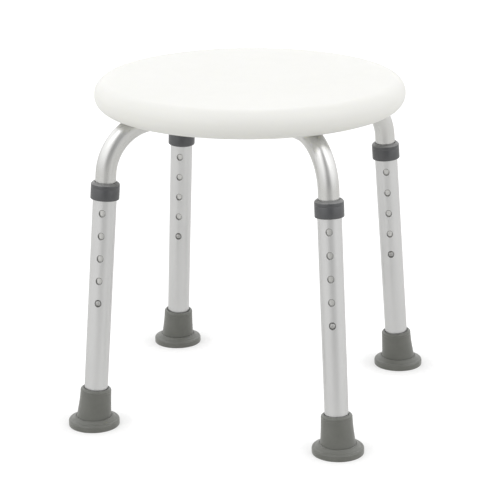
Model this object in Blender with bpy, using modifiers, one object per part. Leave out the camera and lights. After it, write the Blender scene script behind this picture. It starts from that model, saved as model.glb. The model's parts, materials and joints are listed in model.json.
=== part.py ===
"""Height-adjustable shower stool: a round hollow plastic seat on two bent aluminium tubes that
cross under it, with four telescopic leg extensions, collars, rubber tips and snap buttons.

Metres, +Z up. The origin is on the floor, midway between the four feet, and -Y is the front.
"""

import math

import bmesh
import bpy
from mathutils import Matrix, Vector

# ---- Driving dimensions ------------------------------------------------------------------

GAP = 0.0003  # between pieces that touch on the real stool
PAST = 0.0020  # how far a cutter reaches past the face that it opens

SEAT_RADIUS = 0.1685
SEAT_TOP = 0.3660
SEAT_THICK = 0.0306
SEAT_TOP_ROUND = 0.0158
SEAT_BOTTOM_ROUND = 0.0137
SEAT_WALL = 0.0028
SEAT_LIP_WIDTH = 0.0055  # flat ring that the rounded rim ends in
SEAT_LIP_DROP = 0.0031  # how far that ring stands below the underside panel
SEAT_STEPS = 40

TUBE_RADIUS = 0.0111
TUBE_WALL = 0.0016
BEND_RADIUS = 0.0559
RUN_HEIGHT = 0.3315  # centre line of the tubes under the seat
LEG_TILT = math.radians(4.6)  # each leg leans in, towards the stool's centre line
FOOT_REACH = 0.1946  # from the stool's centre line to where a leg's axis meets the floor
TUBE_END_HEIGHT = 0.1160  # lower end of the frame tube inside the extension
FLAT_HALF = 0.018  # half of the length that is pressed flat where the tubes cross
FLAT_BLEND = 0.040  # the tube is round again this far from the crossing
FLAT_WIDEN = 1.33
CHANNEL_CLEARANCE = 0.0008  # around the tubes, in the channels under the seat

EXT_RADIUS = 0.0127
EXT_WALL = 0.00125
EXT_BOTTOM_HEIGHT = 0.0125
HOLE_RADIUS = 0.0035
HOLE_COUNT = 5
HOLE_PITCH = 0.0248
TOP_HOLE_HEIGHT = 0.2394
HOLE_TURN = math.radians(11)  # the rows of holes face the front, turned a little to the right

COLLAR_RADIUS = 0.0154
COLLAR_TOP_HEIGHT = 0.2716
COLLAR_LENGTH = 0.0186
COLLAR_LIP = 0.0022
COLLAR_SHOULDER_ROUND = 0.0024
COLLAR_FOOT_ROUND = 0.0008

TIP_RIM_HEIGHT = 0.0422
TIP_RIM_RADIUS = 0.0168
TIP_BASE_RADIUS = 0.0186
TIP_BASE_HEIGHT = 0.0105
TIP_STEP_RADIUS = 0.0192  # the raised step that joins the sleeve to the flange
TIP_STEP_HEIGHT = 0.0108
TIP_STEP_SLOPE = (0.0014, 0.0020)
TIP_SOLE_CHAMFER = 0.0010
TIP_FLANGE_RADIUS = 0.0277
TIP_FLANGE_THICK = 0.0072
TIP_ROUND = 0.0026
FOOT_WASHER_THICK = 0.0015
FOOT_WASHER_BORE = 0.0040

BUTTON_RADIUS = 0.0031
BUTTON_PROUD = 0.0010  # beyond the extension's outside
BUTTON_DOME = [(0.0012, 0.0002), (0.0023, 0.0009), (BUTTON_RADIUS, 0.0020)]  # radius, drop
BUTTON_SHOULDER_RADIUS = 0.0040  # keeps the button from leaving the tube
BUTTON_SHOULDER = (0.0070, 0.0080)  # from the leg's axis
SPRING_WIDTH = 0.0060
SPRING_THICK = 0.0008
SPRING_FRONT = [(-0.0062, -0.006), (-0.0062, 0.006), (-0.0048, 0.020)]  # (y, z) behind the button
SPRING_NOSE_RADIUS = 0.0030
SPRING_NOSE = (-0.0010, 0.0330)
SPRING_BACK = [(0.0052, 0.016), (0.0078, -0.004)]

BOLT_RADIUS = 0.0030
BOLT_REACH = 0.0700  # from the stool's centre line to each seat bolt
BOLT_HEAD_RADIUS = 0.0055
BOLT_HEAD_HEIGHT = 0.0032
BOLT_HEAD_EDGE = 0.0010
BOLT_HEAD_FACE_RADIUS = 0.0042
BOLT_CHAMFER = 0.0006
BOLT_SHORT = 0.0010  # by which the bolt ends below its insert's top
SOCKET_RADIUS = 0.0022
SOCKET_DEPTH = 0.0019
WASHER_RADIUS = 0.0075
WASHER_THICK = 0.0015
SADDLE_BELOW = 0.0018  # under the tube
SADDLE_ABOVE = 0.0014  # up its flanks
INSERT_RADIUS = 0.0050
INSERT_LENGTH = 0.0130
INSERT_GROOVE = 0.0008
INSERT_END = 0.0045  # above and below the groove
BOSS_RADIUS = 0.0085
TACK_RADIUS = 0.0100  # mouth of the cones that tie the seat's underside to its top
TACK_REACHES = (0.058, 0.116)
TACK_SKIN = 0.0015
VENT_RADIUS = 0.0030
VENT_PLACE = (0.086, 0.030)

# ---- Worked out from them ----------------------------------------------------------------

SEAT_BOTTOM = SEAT_TOP - SEAT_THICK
SEAT_PANEL = SEAT_BOTTOM + SEAT_LIP_DROP
CAVITY_TOP = SEAT_TOP - SEAT_WALL
LIP_OUTER = SEAT_RADIUS - SEAT_BOTTOM_ROUND
LIP_INNER = LIP_OUTER - SEAT_LIP_WIDTH
TUBE_BORE = TUBE_RADIUS - TUBE_WALL
TUBE_TOP = RUN_HEIGHT + TUBE_RADIUS
TUBE_UNDERSIDE = RUN_HEIGHT - TUBE_RADIUS
CHANNEL_RADIUS = TUBE_RADIUS + CHANNEL_CLEARANCE
POCKET_TOP = TUBE_TOP + GAP
BELOW_SEAT = SEAT_BOTTOM - PAST
FLAT_SHARE = (TUBE_RADIUS - GAP / 2) / (2 * TUBE_RADIUS)
EXT_BORE = EXT_RADIUS - EXT_WALL
EXT_TOP_HEIGHT = COLLAR_TOP_HEIGHT - COLLAR_LIP - GAP
BUTTON_HEIGHT = TOP_HOLE_HEIGHT - (HOLE_COUNT - 1) * HOLE_PITCH * math.cos(LEG_TILT)
CORNERS = {
    "front_left": (-1, -1),
    "front_right": (1, -1),
    "back_right": (1, 1),
    "back_left": (-1, 1),
}
FRAME_TURNS = {"frame_tube_upper": math.radians(45), "frame_tube_lower": math.radians(-45)}
FLAT_SIDE = {"frame_tube_upper": 1, "frame_tube_lower": -1}


# ---- Scene, collections and materials ----------------------------------------------------


def clear_scene():
    for obj in list(bpy.data.objects):
        bpy.data.objects.remove(obj, do_unlink=True)


def new_collection(name):
    collection = bpy.data.collections.new(name)
    bpy.context.scene.collection.children.link(collection)
    return collection


def new_material(name, colour, roughness, metallic=0.0):
    material = bpy.data.materials.new(name)
    material.use_nodes = True
    shader = material.node_tree.nodes["Principled BSDF"]
    shader.inputs["Base Color"].default_value = (*colour, 1.0)
    shader.inputs["Roughness"].default_value = roughness
    shader.inputs["Metallic"].default_value = metallic
    return material


clear_scene()
STOOL = new_collection("shower_stool")
CUTTERS = new_collection("cutters")
CUTTERS.hide_render = True

SEAT_PLASTIC = new_material("seat_plastic", (0.90, 0.90, 0.88), 0.38)
FRAME_ALUMINIUM = new_material("frame_aluminium", (0.78, 0.78, 0.77), 0.28, 1.0)
LEG_ALUMINIUM = new_material("leg_aluminium", (0.68, 0.68, 0.67), 0.38, 1.0)
COLLAR_PLASTIC = new_material("collar_plastic", (0.085, 0.09, 0.10), 0.45)
TIP_RUBBER = new_material("tip_rubber", (0.15, 0.155, 0.13), 0.65)
BUTTON_STEEL = new_material("button_steel", (0.62, 0.62, 0.61), 0.25, 1.0)
SPRING_STEEL = new_material("spring_steel", (0.45, 0.45, 0.46), 0.35, 1.0)
FASTENER_STEEL = new_material("fastener_steel", (0.56, 0.56, 0.56), 0.30, 1.0)
INSERT_BRASS = new_material("insert_brass", (0.72, 0.55, 0.28), 0.35, 1.0)


# ---- Making shapes -----------------------------------------------------------------------


def add_object(name, data, matrix, material=None):
    """A named part, or a hidden cutter when it has no material."""
    obj = bpy.data.objects.new(name, data)
    obj.matrix_world = matrix
    if material is None:
        obj.display_type = "WIRE"
        obj.hide_render = True
        CUTTERS.objects.link(obj)
        return obj
    data.materials.clear()
    data.materials.append(material)
    STOOL.objects.link(obj)
    return obj


def evaluated_mesh(obj):
    """The object's shape as Blender evaluates it, in a mesh of its own."""
    graph = bpy.context.evaluated_depsgraph_get()
    return bpy.data.meshes.new_from_object(obj.evaluated_get(graph), depsgraph=graph)


def smooth(obj):
    obj.data.shade_smooth()
    obj.data.set_sharp_from_angle(angle=math.radians(35))


def turned(name, profile, matrix=None, material=None, steps=20, loop=False):
    """Turns (radius, height) points about Z. They run down the outer side; a loop closes on itself."""
    mesh = bpy.data.meshes.new(name)
    bm = bmesh.new()
    points = [bm.verts.new((radius, 0.0, height)) for radius, height in profile]
    ends = points[1:] + points[:1] if loop else points[1:]
    for start, end in zip(points, ends):
        bm.edges.new((start, end))
    bm.to_mesh(mesh)
    bm.free()
    obj = add_object(name, mesh, matrix or Matrix.Identity(4), material)
    screw = obj.modifiers.new("turn", "SCREW")
    screw.steps = steps
    screw.render_steps = steps
    screw.use_merge_vertices = True
    screw.merge_threshold = 0.00001
    screw.use_smooth_shade = True
    return obj


def arc(centre, radius, start_deg, end_deg, steps):
    """(x, y) points on an arc, both ends included."""
    angles = [math.radians(start_deg + (end_deg - start_deg) * i / steps) for i in range(steps + 1)]
    return [(centre[0] + radius * math.cos(a), centre[1] + radius * math.sin(a)) for a in angles]


def bar(name, points, radius, matrix, bevel_resolution):
    """A round solid bar along points, as a mesh with its caps welded on."""
    curve = bpy.data.curves.new(name, "CURVE")
    curve.dimensions = "3D"
    curve.bevel_depth = radius
    curve.bevel_resolution = bevel_resolution
    curve.use_fill_caps = True
    spline = curve.splines.new("POLY")
    spline.points.add(len(points) - 1)
    for target, point in zip(spline.points, points):
        target.co = (*point, 1.0)
    guide = add_object(name + "_guide", curve, matrix)
    bpy.context.view_layer.update()
    mesh = evaluated_mesh(guide)
    bpy.data.objects.remove(guide, do_unlink=True)
    bm = bmesh.new()
    bm.from_mesh(mesh)
    bmesh.ops.remove_doubles(bm, verts=bm.verts, dist=0.00001)
    bm.to_mesh(mesh)
    bm.free()
    return mesh


def boolean(obj, other, operation="DIFFERENCE"):
    modifier = obj.modifiers.new(operation.lower(), "BOOLEAN")
    modifier.operation = operation
    modifier.object = other


def cylinder_cutter(name, radius, bottom, top, matrix=None, steps=12):
    return turned(name, [(0, top), (radius, top), (radius, bottom), (0, bottom)], matrix, steps=steps)


# ---- Where things stand ------------------------------------------------------------------


def on_leg(height):
    """Distance up a leg's axis of a point at this height over the floor."""
    return height / math.cos(LEG_TILT)


def leg_frame(corner):
    """The leg's own axes: +Z up the leg from the floor, and -Y out of its row of holes."""
    side_x, side_y = corner
    inward = Vector((-side_x, -side_y, 0.0)).normalized()
    up = inward * math.sin(LEG_TILT) + Vector((0.0, 0.0, math.cos(LEG_TILT)))
    facing = Vector((math.sin(HOLE_TURN), -math.cos(HOLE_TURN), 0.0))
    front = (facing - up * facing.dot(up)).normalized()
    across = (-front).cross(up)
    axes = Matrix((across, -front, up)).transposed().to_4x4()
    return Matrix.Translation(-inward * FOOT_REACH) @ axes


def frame_path():
    """Centre line of a frame tube in its own XZ plane, from one lower end to the other."""
    turn = math.pi / 2 - LEG_TILT
    corner_x = FOOT_REACH - RUN_HEIGHT * math.tan(LEG_TILT)
    bend_x = corner_x - BEND_RADIUS * math.tan(turn / 2)
    end_x = FOOT_REACH - TUBE_END_HEIGHT * math.tan(LEG_TILT)
    bend = arc((bend_x, RUN_HEIGHT - BEND_RADIUS), BEND_RADIUS, math.degrees(LEG_TILT), 90, 7)
    right = [(end_x, TUBE_END_HEIGHT), *bend]
    half = right + [(x, RUN_HEIGHT) for x in (FLAT_BLEND, (FLAT_HALF + FLAT_BLEND) / 2, FLAT_HALF)]
    other_half = [(-x, z) for x, z in reversed(half)]
    return [Vector((x, 0.0, z)) for x, z in half + other_half]


# ---- Frame tubes -------------------------------------------------------------------------


def press_flat(mesh, side, share, widen):
    """Flattens the middle of a bar to one side of its centre line, so that two bars can cross."""
    for vertex in mesh.vertices:
        past = (abs(vertex.co.x) - FLAT_HALF) / (FLAT_BLEND - FLAT_HALF)
        flat = 1.0 - min(max(past, 0.0), 1.0)
        height = vertex.co.z - RUN_HEIGHT
        if flat == 0.0 or abs(height) > 2 * TUBE_RADIUS:
            continue
        shift = side * (1 - FLAT_SHARE) * TUBE_RADIUS
        squeezed = height * share + shift
        vertex.co.z = RUN_HEIGHT + height + (squeezed - height) * flat
        vertex.co.y *= 1 + (widen - 1) * flat


def frame_tube(name):
    turn = Matrix.Rotation(FRAME_TURNS[name], 4, "Z")
    side = FLAT_SIDE[name]
    path = frame_path()
    outer = bar(name, path, TUBE_RADIUS, turn, 6)
    press_flat(outer, side, FLAT_SHARE, FLAT_WIDEN)
    bore_path = list(path)
    bore_path[0] = path[0] + (path[0] - path[1]).normalized() * PAST
    bore_path[-1] = path[-1] + (path[-1] - path[-2]).normalized() * PAST
    bore = bar(name + "_bore", bore_path, TUBE_BORE, turn, 4)
    bore_share = (FLAT_SHARE * TUBE_RADIUS - TUBE_WALL) / TUBE_BORE
    bore_widen = (FLAT_WIDEN * TUBE_RADIUS - TUBE_WALL) / TUBE_BORE
    press_flat(bore, side, bore_share, bore_widen)
    tube = add_object(name, outer, turn, FRAME_ALUMINIUM)
    boolean(tube, add_object(name + "_bore", bore, turn))
    for place in (-BOLT_REACH, 0.0, BOLT_REACH):
        at = turn @ Matrix.Translation((place, 0.0, 0.0))
        low, high = TUBE_UNDERSIDE - PAST, TUBE_TOP + PAST
        boolean(tube, cylinder_cutter(f"{name}_bolt_hole", BOLT_RADIUS + GAP, low, high, at))
    smooth(tube)
    return tube


def button_matrix(corner):
    """+Z out of the lowest hole, from the leg's axis."""
    up = Matrix.Translation((0.0, 0.0, on_leg(BUTTON_HEIGHT)))
    return leg_frame(corner) @ up @ Matrix.Rotation(math.radians(90), 4, "X")


def drill_for_button(tube, corner):
    at = button_matrix(corner)
    name = tube.name + "_button_hole"
    boolean(tube, cylinder_cutter(name, HOLE_RADIUS, TUBE_BORE / 2, TUBE_RADIUS + PAST, at))


# ---- Seat --------------------------------------------------------------------------------


def seat_outline(inset, panel, arc_steps):
    """Half section of the seat, or of its hollow when inset is the wall's thickness."""
    top = SEAT_TOP - inset
    top_centre = (SEAT_RADIUS - SEAT_TOP_ROUND, SEAT_TOP - SEAT_TOP_ROUND)
    low_centre = (LIP_OUTER, SEAT_BOTTOM + SEAT_BOTTOM_ROUND)
    upper = arc(top_centre, SEAT_TOP_ROUND - inset, 90, 0, arc_steps)
    lower = arc(low_centre, SEAT_BOTTOM_ROUND - inset, 0, -90, arc_steps)
    lip = [(LIP_INNER + inset, SEAT_BOTTOM + inset), (LIP_INNER - SEAT_LIP_DROP + inset, panel)]
    return [(0.0, top), *upper, *lower, *lip, (0.0, panel)]


def seat_hollow(bolt_places, tack_places):
    """The space inside the walls, less the bosses, the cones and the walls of the tube channels."""
    outline = seat_outline(SEAT_WALL, SEAT_PANEL + SEAT_WALL, 3)
    hollow = turned("seat_hollow", outline, steps=SEAT_STEPS)
    path = frame_path()[1:-1]
    for name, angle in FRAME_TURNS.items():
        turn = Matrix.Rotation(angle, 4, "Z")
        wall = bar(name, path, CHANNEL_RADIUS + SEAT_WALL, turn, 4)
        boolean(hollow, add_object(name + "_wall", wall, turn))
    pocket_radius, pocket_top = FLAT_BLEND + SEAT_WALL, POCKET_TOP + SEAT_WALL
    boolean(hollow, cylinder_cutter("pocket_wall", pocket_radius, BELOW_SEAT, pocket_top, steps=20))
    top = SEAT_TOP - SEAT_WALL / 2
    for x, y in bolt_places:
        at = Matrix.Translation((x, y, 0.0))
        boolean(hollow, cylinder_cutter("boss", BOSS_RADIUS, BELOW_SEAT, top, at))
    mouth = TACK_RADIUS + SEAT_WALL / 2
    profile = [(0.0, top), (TACK_RADIUS / 2, top), (mouth, BELOW_SEAT), (0.0, BELOW_SEAT)]
    for x, y in tack_places:
        boolean(hollow, turned("tack_wall", profile, Matrix.Translation((x, y, 0.0)), steps=8))
    return hollow


def seat():
    reach = BOLT_REACH / math.sqrt(2)
    bolt_places = [(0.0, 0.0)] + [(x * reach, y * reach) for x, y in CORNERS.values()]
    quarter = [(1, 0), (0, 1), (-1, 0), (0, -1)]
    tack_places = [(r * x, r * y) for r in TACK_REACHES for x, y in quarter]
    outline = seat_outline(0.0, SEAT_PANEL, 6)
    body = turned("seat", outline, material=SEAT_PLASTIC, steps=SEAT_STEPS)
    boolean(body, seat_hollow(bolt_places, tack_places))
    for name, angle in FRAME_TURNS.items():
        turn = Matrix.Rotation(angle, 4, "Z")
        channel = bar(name, frame_path()[1:-1], CHANNEL_RADIUS, turn, 4)
        boolean(body, add_object(name + "_channel", channel, turn))
    boolean(body, cylinder_cutter("pocket", FLAT_BLEND, BELOW_SEAT, POCKET_TOP, steps=20))
    bore_top = POCKET_TOP + GAP + INSERT_LENGTH
    for x, y in bolt_places:
        at = Matrix.Translation((x, y, 0.0))
        boolean(body, cylinder_cutter("insert_bore", INSERT_RADIUS + GAP, BELOW_SEAT, bore_top, at))
    tip, tip_radius = CAVITY_TOP - TACK_SKIN, (TACK_RADIUS - SEAT_WALL) / 2
    profile = [(0.0, tip), (tip_radius, tip), (TACK_RADIUS, BELOW_SEAT), (0.0, BELOW_SEAT)]
    for x, y in tack_places:
        boolean(body, turned("tack_cone", profile, Matrix.Translation((x, y, 0.0)), steps=8))
    vent = Matrix.Translation((*VENT_PLACE, 0.0))
    boolean(body, cylinder_cutter("vent", VENT_RADIUS, BELOW_SEAT, SEAT_PANEL + SEAT_WALL + PAST, vent))
    return body


# ---- Fasteners ---------------------------------------------------------------------------


def bolt(name, at, head_top):
    """A button-headed bolt pointing up, with a hexagon socket in its head."""
    tip = TUBE_TOP + INSERT_LENGTH - BOLT_SHORT
    low = head_top - BOLT_HEAD_HEIGHT
    shank = [(0.0, tip), (BOLT_RADIUS - BOLT_CHAMFER, tip), (BOLT_RADIUS, tip - BOLT_CHAMFER)]
    under_head = [(BOLT_RADIUS, head_top), (BOLT_HEAD_RADIUS, head_top)]
    head = [(BOLT_HEAD_RADIUS, head_top - BOLT_HEAD_EDGE), (BOLT_HEAD_FACE_RADIUS, low), (0.0, low)]
    obj = turned(name, shank + under_head + head, at, FASTENER_STEEL, steps=12)
    boolean(obj, cylinder_cutter(name + "_socket", SOCKET_RADIUS, low - PAST, low + SOCKET_DEPTH, at, 6))
    return obj


def saddle_washer(name, at, turn):
    """A washer whose upper side is hollowed to the tube that it bears on."""
    low, high = TUBE_UNDERSIDE - SADDLE_BELOW, TUBE_UNDERSIDE + SADDLE_ABOVE
    bore = BOLT_RADIUS + GAP
    profile = [(WASHER_RADIUS, high), (WASHER_RADIUS, low), (bore, low), (bore, high)]
    washer = turned(name, profile, at, FASTENER_STEEL, steps=16, loop=True)
    reach = WASHER_RADIUS + PAST
    ends = [Vector((-reach, 0.0, RUN_HEIGHT)), Vector((reach, 0.0, RUN_HEIGHT))]
    along = at @ Matrix.Rotation(turn, 4, "Z")
    saddle = bar(name + "_saddle", ends, TUBE_RADIUS + GAP, along, 8)
    boolean(washer, add_object(name + "_saddle", saddle, along))
    return washer


def flat_washer(name, at):
    high = TUBE_UNDERSIDE - GAP
    low = high - WASHER_THICK
    bore = BOLT_RADIUS + GAP
    profile = [(WASHER_RADIUS, high), (WASHER_RADIUS, low), (bore, low), (bore, high)]
    return turned(name, profile, at, FASTENER_STEEL, steps=16, loop=True)


def insert(name, at):
    """A threaded bush, with a groove that keys it into the seat's boss."""
    low = TUBE_TOP + 2 * GAP
    top, bore, groove = low + INSERT_LENGTH - GAP, BOLT_RADIUS + GAP, INSERT_RADIUS - INSERT_GROOVE
    upper, lower = top - INSERT_END, low + INSERT_END
    profile = [(INSERT_RADIUS, top), (INSERT_RADIUS, upper), (groove, upper), (groove, lower)]
    profile += [(INSERT_RADIUS, lower), (INSERT_RADIUS, low), (bore, low), (bore, top)]
    return turned(name, profile, at, INSERT_BRASS, steps=12, loop=True)


def seat_fasteners(place, corner):
    reach = BOLT_REACH / math.sqrt(2)
    at = Matrix.Translation((corner[0] * reach, corner[1] * reach, 0.0))
    turn = math.radians(45) * corner[0] * corner[1]
    saddle_washer(f"saddle_washer_{place}", at, turn)
    bolt(f"seat_bolt_{place}", at, TUBE_UNDERSIDE - SADDLE_BELOW - GAP)
    insert(f"seat_insert_{place}", at)


def centre_fasteners():
    at = Matrix.Identity(4)
    flat_washer("centre_washer", at)
    bolt("centre_bolt", at, TUBE_UNDERSIDE - WASHER_THICK - 2 * GAP)
    insert("centre_insert", at)


# ---- Legs --------------------------------------------------------------------------------


def leg_extension(place, frame):
    low, high = on_leg(EXT_BOTTOM_HEIGHT), on_leg(EXT_TOP_HEIGHT)
    profile = [(EXT_RADIUS, high), (EXT_RADIUS, low), (EXT_BORE, low), (EXT_BORE, high)]
    tube = turned(f"leg_extension_{place}", profile, frame, LEG_ALUMINIUM, steps=20, loop=True)
    for i in range(HOLE_COUNT):
        up = Matrix.Translation((0.0, 0.0, on_leg(TOP_HOLE_HEIGHT) - i * HOLE_PITCH))
        at = frame @ up @ Matrix.Rotation(math.radians(90), 4, "X")
        hole = f"{tube.name}_hole_{i}"
        boolean(tube, cylinder_cutter(hole, HOLE_RADIUS, EXT_BORE / 2, EXT_RADIUS + PAST, at))
    return tube


def collar(place, frame):
    """A cap ring: a wide bore over the extension, and a lip that closes in on the frame tube."""
    top = on_leg(COLLAR_TOP_HEIGHT)
    low = top - COLLAR_LENGTH
    wide, narrow = EXT_RADIUS + GAP, TUBE_RADIUS + GAP
    shoulder, edge = COLLAR_SHOULDER_ROUND, COLLAR_FOOT_ROUND
    crown = arc((COLLAR_RADIUS - shoulder, top - shoulder), shoulder, 90, 0, 3)
    foot = arc((COLLAR_RADIUS - edge, low + edge), edge, 0, -90, 2)
    bore = [(wide, low), (wide, top - COLLAR_LIP), (narrow, top - COLLAR_LIP), (narrow, top)]
    return turned(f"collar_{place}", crown + foot + bore, frame, COLLAR_PLASTIC, loop=True)


def foot_tip(place, frame):
    """A rubber tip: a sleeve in line with the leg, on a flange that lies flat on the floor."""
    rim = on_leg(TIP_RIM_HEIGHT)
    lip = arc((TIP_RIM_RADIUS - TIP_ROUND, rim - TIP_ROUND), TIP_ROUND, 90, 10, 3)
    base = TIP_FLANGE_THICK / 2
    skirt = [(TIP_BASE_RADIUS, TIP_BASE_HEIGHT), (TIP_BASE_RADIUS, base), (0.0, base)]
    sleeve = [(0.0, rim), *lip, *skirt]
    edge_centre = (TIP_FLANGE_RADIUS - TIP_ROUND, TIP_FLANGE_THICK - TIP_ROUND)
    edge = arc(edge_centre, TIP_ROUND, 90, 0, 3)
    foot_of_step = (TIP_STEP_RADIUS + TIP_STEP_SLOPE[0], TIP_STEP_HEIGHT - TIP_STEP_SLOPE[1])
    step = [(0.0, TIP_STEP_HEIGHT), (TIP_STEP_RADIUS, TIP_STEP_HEIGHT), foot_of_step]
    chamfer = TIP_SOLE_CHAMFER
    sole = [(TIP_FLANGE_RADIUS, chamfer), (TIP_FLANGE_RADIUS - chamfer, 0.0), (0.0, 0.0)]
    upright = Matrix.Translation(frame.translation)
    tip = turned(f"foot_tip_{place}", step + edge + sole, upright, TIP_RUBBER)
    boolean(tip, turned(f"{tip.name}_sleeve", sleeve, frame), "UNION")
    floor = on_leg(EXT_BOTTOM_HEIGHT) - FOOT_WASHER_THICK - 2 * GAP
    boolean(tip, cylinder_cutter(f"{tip.name}_socket", EXT_RADIUS + GAP, floor, rim + PAST, frame, 20))
    return tip


def foot_washer(place, frame):
    top = on_leg(EXT_BOTTOM_HEIGHT) - GAP
    low = top - FOOT_WASHER_THICK
    outer, bore = EXT_RADIUS - GAP, FOOT_WASHER_BORE
    profile = [(outer, top), (outer, low), (bore, low), (bore, top)]
    return turned(f"foot_washer_{place}", profile, frame, FASTENER_STEEL, steps=16, loop=True)


def snap_button(place, corner):
    tip = EXT_RADIUS + BUTTON_PROUD
    dome = [(0.0, tip)] + [(radius, tip - drop) for radius, drop in BUTTON_DOME]
    low, high = BUTTON_SHOULDER
    wide = BUTTON_SHOULDER_RADIUS
    base = [(BUTTON_RADIUS, high), (wide, high), (wide, low), (0.0, low)]
    return turned(f"snap_button_{place}", dome + base, button_matrix(corner), BUTTON_STEEL, steps=12)


def button_spring(place, frame):
    """A bent steel strip: one arm behind the button, the other against the tube's far wall."""
    line = SPRING_FRONT + arc(SPRING_NOSE, SPRING_NOSE_RADIUS, 180, 0, 6) + SPRING_BACK
    mesh = bpy.data.meshes.new(f"button_spring_{place}")
    bm = bmesh.new()
    points = [bm.verts.new((-SPRING_WIDTH / 2, y, z)) for y, z in line]
    edges = [bm.edges.new(pair) for pair in zip(points, points[1:])]
    drawn = bmesh.ops.extrude_edge_only(bm, edges=edges)["geom"]
    moved = [item for item in drawn if isinstance(item, bmesh.types.BMVert)]
    bmesh.ops.translate(bm, verts=moved, vec=(SPRING_WIDTH, 0.0, 0.0))
    bm.to_mesh(mesh)
    bm.free()
    at = frame @ Matrix.Translation((0.0, 0.0, on_leg(BUTTON_HEIGHT)))
    spring = add_object(f"button_spring_{place}", mesh, at, SPRING_STEEL)
    solid = spring.modifiers.new("thickness", "SOLIDIFY")
    solid.thickness = SPRING_THICK
    solid.offset = 0.0
    return spring


def leg(place, corner):
    frame = leg_frame(corner)
    leg_extension(place, frame)
    collar(place, frame)
    foot_tip(place, frame)
    foot_washer(place, frame)
    snap_button(place, corner)
    button_spring(place, frame)


# ---- The stool ---------------------------------------------------------------------------

seat()
tubes = {name: frame_tube(name) for name in FRAME_TURNS}
centre_fasteners()
for place, corner in CORNERS.items():
    drill_for_button(tubes["frame_tube_upper" if corner[0] == corner[1] else "frame_tube_lower"], corner)
    seat_fasteners(place, corner)
    leg(place, corner)
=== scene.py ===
"""Looks for the shower stool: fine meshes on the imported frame, procedural materials, soft studio
light and the camera. Metres, +Z up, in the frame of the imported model.
"""

import json
import math

import bmesh
import bpy
from mathutils import Matrix, Vector

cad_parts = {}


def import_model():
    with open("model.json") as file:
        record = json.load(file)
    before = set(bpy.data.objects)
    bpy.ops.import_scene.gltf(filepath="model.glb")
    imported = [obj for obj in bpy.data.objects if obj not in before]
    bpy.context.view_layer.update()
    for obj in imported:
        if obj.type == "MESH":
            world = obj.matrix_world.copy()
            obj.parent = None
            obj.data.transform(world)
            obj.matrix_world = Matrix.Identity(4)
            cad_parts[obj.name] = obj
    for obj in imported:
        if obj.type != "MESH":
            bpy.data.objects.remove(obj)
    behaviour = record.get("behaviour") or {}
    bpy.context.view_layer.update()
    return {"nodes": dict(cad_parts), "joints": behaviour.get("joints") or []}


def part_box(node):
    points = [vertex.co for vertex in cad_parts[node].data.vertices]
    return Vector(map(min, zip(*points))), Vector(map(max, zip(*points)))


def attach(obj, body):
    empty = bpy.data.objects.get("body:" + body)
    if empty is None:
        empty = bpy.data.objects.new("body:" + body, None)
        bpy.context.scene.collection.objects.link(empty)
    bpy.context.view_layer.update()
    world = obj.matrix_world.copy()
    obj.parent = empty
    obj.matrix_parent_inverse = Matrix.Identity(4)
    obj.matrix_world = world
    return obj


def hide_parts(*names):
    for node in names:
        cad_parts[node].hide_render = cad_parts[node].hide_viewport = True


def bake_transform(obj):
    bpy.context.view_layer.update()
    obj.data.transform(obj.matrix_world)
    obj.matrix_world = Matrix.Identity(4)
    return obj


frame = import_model()

# ---- Sizes of the design that the frame doesn't state -------------------------------------

TUBE_RADIUS = 0.0111
TUBE_WALL = 0.0016
BEND_RADIUS = 0.0559
FLAT_HALF = 0.018  # half of the length that is pressed flat where the tubes cross
FLAT_BLEND = 0.040  # from the middle, where a tube is fully round again
FLAT_WIDEN = 1.33  # how much wider the pressed part is than the round tube
GAP = 0.0003  # between parts that touch
HOLE_RADIUS = 0.0035
HOLE_COUNT = 5
EXT_WALL = 0.00125
CUT_PAST = 0.002  # how far a cutter stands out of the surface it cuts
QUARTER_TURN = math.radians(90)

COLLAR_BEVEL = 0.0025  # width and drop of the bevel round the top
COLLAR_BEVEL_BULGE = 0.00018  # how far the bevel stands out of a plain cone

SEAT_TOP_ROUND = 0.0158
SEAT_BOTTOM_ROUND = 0.0137
SEAT_LIP_WIDTH = 0.0055
SEAT_LIP_DROP = 0.0031
CHANNEL_CLEARANCE = 0.0008
TACK_RADIUS = 0.0100
TACK_TIP_RADIUS = 0.0036
TACK_DEPTH = 0.0195
TACK_PLACES = (0.058, 0.116)  # how far along X and Y the tack cones stand
TACK_FOOT = 0.1  # share of a cone's depth that runs on past the panel, to round its foot

CORNERS = {
    "front_left": (-1, -1),
    "front_right": (1, -1),
    "back_right": (1, 1),
    "back_left": (-1, 1),
}
FRAME_TURNS = {"frame_tube_upper": math.radians(45), "frame_tube_lower": math.radians(-45)}
FLAT_SIDE = {"frame_tube_upper": 1, "frame_tube_lower": -1}
TUBE_OF = {
    "front_left": "frame_tube_upper",
    "front_right": "frame_tube_lower",
    "back_right": "frame_tube_upper",
    "back_left": "frame_tube_lower",
}
JOINTS = {joint["name"]: joint for joint in frame["joints"]}


# ---- Places read from the frame ------------------------------------------------------------


def leg_frame(place):
    """+Z up the leg from the middle of its foot's sole, and -Y out of its row of holes."""
    up = -Vector(JOINTS["leg_slide_" + place]["axis"])
    front = -Vector(JOINTS["button_press_" + place]["axis"])
    across = (-front).cross(up)
    axes = Matrix((across, -front, up)).transposed().to_4x4()
    low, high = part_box("foot_tip_" + place)
    sole = Vector(((low.x + high.x) / 2, (low.y + high.y) / 2, low.z))
    return Matrix.Translation(sole) @ axes


def span(node, matrix):
    """Lowest and highest Z of a node, and its largest radius about Z, in a frame of its own."""
    inverse = matrix.inverted()
    points = [inverse @ vertex.co for vertex in frame["nodes"][node].data.vertices]
    heights = [point.z for point in points]
    return min(heights), max(heights), max(math.hypot(point.x, point.y) for point in points)


# ---- Making meshes -------------------------------------------------------------------------


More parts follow.
